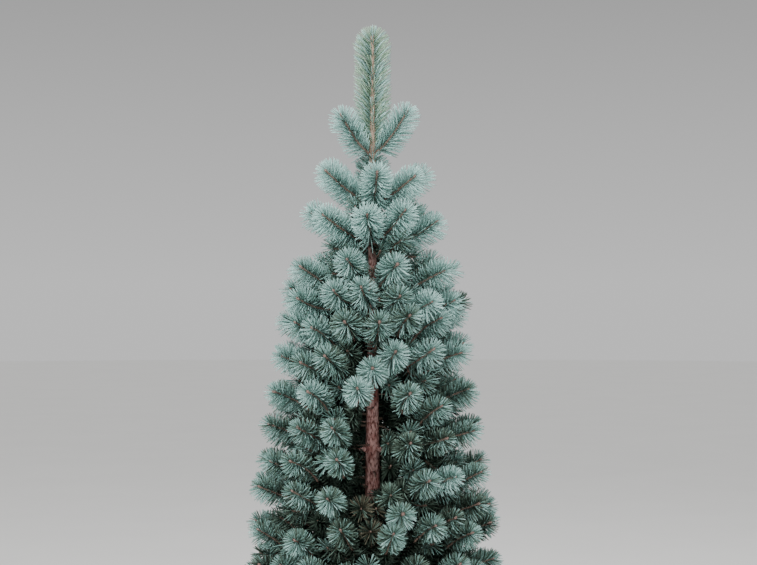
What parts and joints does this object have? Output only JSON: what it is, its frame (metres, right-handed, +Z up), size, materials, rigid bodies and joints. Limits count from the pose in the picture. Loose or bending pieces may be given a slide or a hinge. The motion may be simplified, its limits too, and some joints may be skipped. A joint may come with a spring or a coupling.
{
  "type": "potted blue spruce",
  "caption": "Slim young blue spruce with whorls of short blue-needled shoots round one straight trunk, in a plain clay pot.",
  "frame": {"origin": "centre of the pot's flat underside, on the ground", "axes": "+Z up along the trunk, the front of the plant faces -Y, +X to its right"},
  "size_m": [0.3182, 0.3254, 1.0262],
  "materials": {
    "bark": "rough, flaky reddish bark",
    "needles": null,
    "clay": "matt fired clay, unglazed",
    "soil": "loose moist potting soil"
  },
  "bodies": {
    "root": {"bough_eighth_1": "bark", "bough_eighth_2": "bark", "bough_eighth_3": "bark", "bough_eighth_4": "bark", "bough_eighth_5": "bark", "bough_seventh_1": "bark", "bough_seventh_2": "bark", "bough_seventh_3": "bark", "bough_seventh_4": "bark", "bough_seventh_5": "bark", "bough_sixth_1": "bark", "bough_sixth_2": "bark", "bough_sixth_3": "bark", "bough_sixth_4": "bark", "leader_needles": "needles", "mass_eighth_1": "needles", "mass_eighth_2": "needles", "mass_eighth_3": "needles", "mass_eighth_4": "needles", "mass_eighth_5": "needles", "mass_fifth_1": "needles", "mass_fifth_2": "needles", "mass_fifth_3": "needles", "mass_fifth_4": "needles", "mass_fifth_5": "needles", "mass_fifth_6": "needles", "mass_fourth_1": "needles", "mass_fourth_2": "needles", "mass_fourth_3": "needles", "mass_fourth_4": "needles", "mass_fourth_5": "needles", "mass_second_1": "needles", "mass_second_2": "needles", "mass_second_3": "needles", "mass_second_4": "needles", "mass_second_5": "needles", "mass_second_6": "needles", "mass_seventh_1": "needles", "mass_seventh_2": "needles", "mass_seventh_3": "needles", "mass_seventh_4": "needles", "mass_seventh_5": "needles", "mass_sixth_1": "needles", "mass_sixth_2": "needles", "mass_sixth_3": "needles", "mass_sixth_4": "needles", "mass_third_1": "needles", "mass_third_2": "needles", "mass_third_3": "needles", "mass_third_4": "needles", "mass_third_5": "needles", "mass_third_6": "needles", "mass_third_7": "needles", "mass_top_1": "needles", "mass_top_2": "needles", "mass_top_3": "needles", "pot": "clay", "soil": "soil", "trunk": "bark"}
  },
  "joints": []
}
